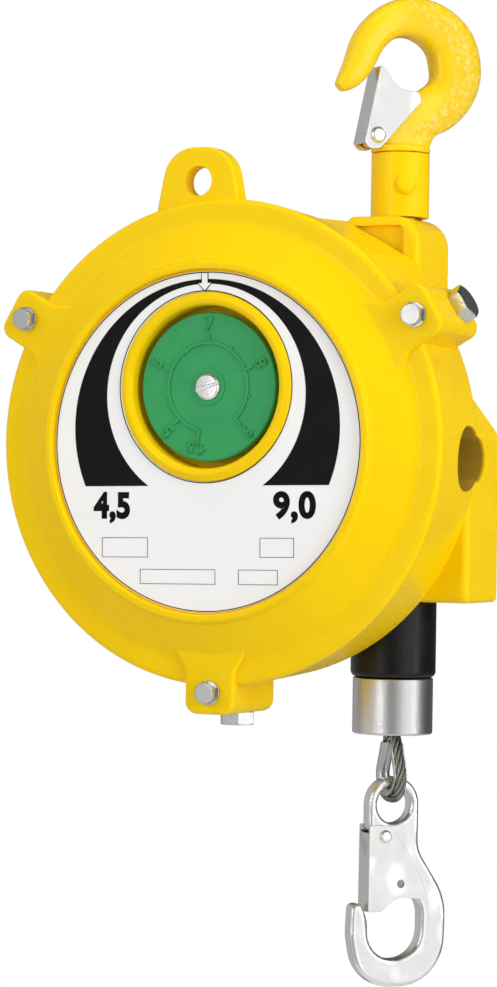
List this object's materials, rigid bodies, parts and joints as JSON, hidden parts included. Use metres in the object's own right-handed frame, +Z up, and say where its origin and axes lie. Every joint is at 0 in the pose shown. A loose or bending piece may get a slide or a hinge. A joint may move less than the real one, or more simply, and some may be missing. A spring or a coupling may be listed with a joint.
{
  "type": "spring tool balancer",
  "caption": "Yellow spring balancer with swivelling top hook, preload dial, wire rope, stop buffer and snap hook.",
  "frame": {"origin": "seat of the suspension hook: inside top of its bowl, on the load line", "axes": "+Z up along the load line, -Y out of the face with the dial, +X to the right seen from that face"},
  "size_m": [0.2054, 0.1053, 0.4072],
  "materials": {
    "yellow": "gloss enamel on cast metal",
    "steel": "machined steel",
    "zinc": "bright zinc plated steel",
    "forged": "gloss enamel on rough forging",
    "alu": "turned",
    "cast": "raw die casting",
    "rubber": "moulded black rubber",
    "chrome": "polished",
    "bronze": "sintered bronze",
    "label": "printed plate, white with black",
    "dial": "green moulding",
    "rope": "greased wire rope",
    "spring": "blued spring steel"
  },
  "bodies": {
    "hook_unit": {"suspension_hook": "forged", "hook_socket": "yellow", "socket_pin": "zinc", "hook_spindle": "steel", "spindle_nut": "steel", "thrust_washer": "steel", "latch_rivet": "zinc", "latch_spring": "spring"},
    "latch": {"hook_latch": "zinc"},
    "housing": {"main_housing": "yellow", "front_cover": "yellow", "name_plate": "label", "cover_bolts": "zinc", "cover_washers": "zinc", "side_bolts": "zinc", "rear_gear_cover": "yellow", "gear_cover_screws": "zinc", "arbor_bush_front": "bronze", "arbor_bush_rear": "bronze", "swivel_bush": "bronze", "rope_guide": "bronze", "dial_screw": "zinc", "idler_pin": "steel"},
    "drum": {"rope_drum": "cast", "rope_winding": "rope", "spring_cover": "steel", "mainspring": "spring", "drum_bush_front": "bronze", "drum_bush_rear": "bronze"},
    "arbor_unit": {"arbor": "steel", "dial_pinion": "bronze", "worm_wheel": "steel", "arbor_nut": "steel"},
    "worm": {"tension_worm": "steel"},
    "idler": {"dial_idler": "bronze"},
    "dial_unit": {"dial": "dial"},
    "rope_end": {"rope_fall": "rope", "rope_run": "rope", "stop_buffer": "rubber", "buffer_collar": "alu", "rope_ferrule": "alu", "rope_eye": "rope", "thimble": "chrome"},
    "snap": {"snap_hook": "chrome", "gate_rivet": "zinc"},
    "gate": {"snap_gate": "zinc", "gate_spring": "spring"}
  },
  "joints": [
    {"name": "housing_swivel", "type": "hinge", "parent": "hook_unit", "child": "housing", "pos_m": [0, 0, -0.0887], "axis": [0, 0, 1], "continuous": true},
    {"name": "latch_hinge", "type": "hinge", "parent": "hook_unit", "child": "latch", "pos_m": [-0.00836, -0.00996, -0.0414], "axis": [-0.766, 0.6428, 0], "range_deg": [0, 28], "stiffness_Nm_per_rad": 0.02, "springref_deg": -34.38},
    {"name": "drum_spin", "type": "hinge", "parent": "housing", "child": "drum", "pos_m": [-0.053, -0.005, -0.1687], "axis": [0, 1, 0], "range_deg": [0, 1379], "stiffness_Nm_per_rad": 0.05, "springref_deg": -4251.35},
    {"name": "rope_travel", "type": "slide", "parent": "housing", "child": "rope_end", "axis": [0, 0, -1], "range_m": [0, 1.3], "deforming": ["rope_fall"]},
    {"name": "arbor_turn", "type": "hinge", "parent": "housing", "child": "arbor_unit", "pos_m": [-0.053, -0.02, -0.1687], "axis": [0, -1, 0], "range_deg": [-1518.75, 1215]},
    {"name": "idler_turn", "type": "hinge", "parent": "housing", "child": "idler", "pos_m": [-0.0403, -0.061, -0.1577], "axis": [0, -1, 0], "range_deg": [-405.5, 506.75]},
    {"name": "dial_turn", "type": "hinge", "parent": "housing", "child": "dial_unit", "pos_m": [-0.053, -0.065, -0.1467], "axis": [0, -1, 0], "range_deg": [-169, 135.5]},
    {"name": "worm_turn", "type": "hinge", "parent": "housing", "child": "worm", "pos_m": [-0.053, 0.0212, -0.1876], "axis": [-1, 0, 0], "range_deg": [-36451, 29161]},
    {"name": "snap_hook_swing", "type": "hinge", "parent": "rope_end", "child": "snap", "pos_m": [0, 0, -0.312], "axis": [0.766, -0.6428, 0], "range_deg": [-60, 60]},
    {"name": "gate_hinge", "type": "hinge", "parent": "snap", "child": "gate", "pos_m": [-0.00296, -0.00352, -0.3287], "axis": [0.766, -0.6428, 0], "range_deg": [0, 30], "stiffness_Nm_per_rad": 0.01, "springref_deg": -28.65}
  ],
  "couplings": [
    {"joint": "rope_travel", "follows": "drum_spin", "m_per_rad": 0.054},
    {"joint": "idler_turn", "follows": "arbor_turn", "ratio": -0.33333},
    {"joint": "dial_turn", "follows": "arbor_turn", "ratio": 0.11111},
    {"joint": "worm_turn", "follows": "arbor_turn", "ratio": 24}
  ]
}
